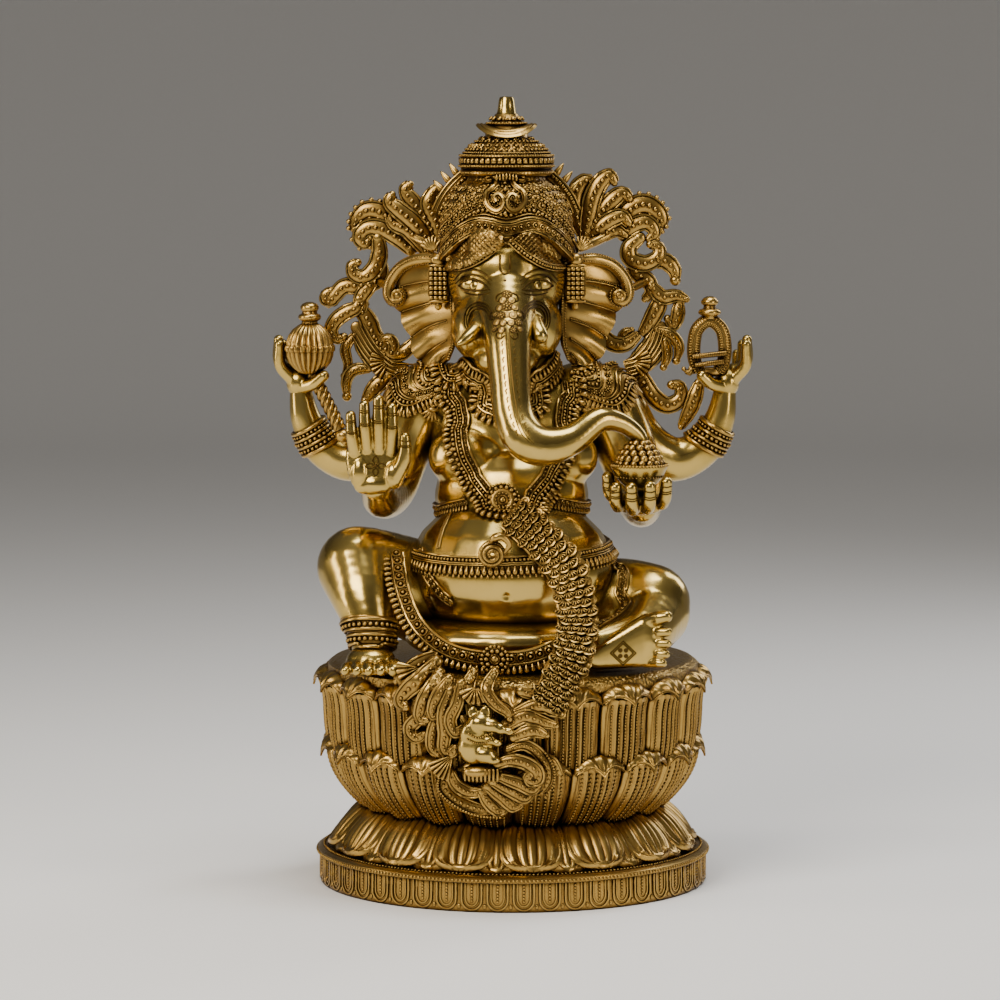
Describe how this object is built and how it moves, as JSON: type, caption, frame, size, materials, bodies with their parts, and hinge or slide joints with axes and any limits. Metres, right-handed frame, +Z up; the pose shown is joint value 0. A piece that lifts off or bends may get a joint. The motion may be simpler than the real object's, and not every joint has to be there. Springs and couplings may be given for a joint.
{
  "type": "elephant-headed deity idol on lotus pedestal",
  "caption": "Cast brass idol of a seated elephant-headed deity on a round lotus pedestal, with attribute castings, jewellery and a scroll arch behind; for a shrine or display shelf.",
  "frame": {"origin": "centre of the pedestal's foot, on the surface it stands on", "axes": "+Z up, the figure faces -Y, +X to the viewer's right"},
  "size_m": [0.3752, 0.3245, 0.61],
  "materials": {
    "polished_brass": "bright polished skin, a little tarnish in the hollows",
    "antiqued_brass": "chased ornament with dark brown patina left in the recesses",
    "steel": "plain machined"
  },
  "bodies": {
    "root": {"plinth": "antiqued_brass", "plinth_petals": "antiqued_brass", "lotus_bowl": "antiqued_brass", "bowl_petals_lower": "antiqued_brass", "bowl_petals_upper": "antiqued_brass", "lotus_seat": "polished_brass", "tie_stud": "steel", "tie_nut": "steel", "torso": "polished_brass", "head": "polished_brass", "leg_folded": "polished_brass", "leg_raised": "polished_brass", "lap_cloth": "antiqued_brass", "foot_folded": "polished_brass", "foot_raised": "polished_brass", "anklets": "antiqued_brass", "arm_front_l": "polished_brass", "arm_front_r": "polished_brass", "arm_rear_l": "polished_brass", "arm_rear_r": "polished_brass", "mace_head": "antiqued_brass", "mace_shaft": "antiqued_brass", "noose": "antiqued_brass", "sweets_bowl": "antiqued_brass", "sweets": "polished_brass", "hand_blessing": "polished_brass", "hand_bowl": "polished_brass", "hand_rear_l": "polished_brass", "hand_rear_r": "polished_brass", "ear_l": "polished_brass", "ear_r": "polished_brass", "tusk_l": "polished_brass", "tusk_r": "polished_brass", "crown_body": "antiqued_brass", "crown_hem": "antiqued_brass", "crown_band": "antiqued_brass", "crown_dome": "antiqued_brass", "crown_finial": "polished_brass", "crown_rays_l": "antiqued_brass", "crown_rays_r": "antiqued_brass", "ear_pendant_l": "antiqued_brass", "ear_pendant_r": "antiqued_brass", "bangle_rear_l": "antiqued_brass", "bangle_rear_r": "antiqued_brass", "shoulder_cape_l": "antiqued_brass", "shoulder_cape_r": "antiqued_brass", "collar": "antiqued_brass", "necklace": "antiqued_brass", "belt": "antiqued_brass", "sash": "antiqued_brass", "garland": "antiqued_brass", "mouse": "polished_brass", "foliage": "antiqued_brass", "arch_crest_l": "antiqued_brass", "arch_scroll_l": "antiqued_brass", "arch_leaf_l": "antiqued_brass", "arch_crest_r": "antiqued_brass", "arch_scroll_r": "antiqued_brass", "arch_leaf_r": "antiqued_brass"}
  },
  "joints": []
}
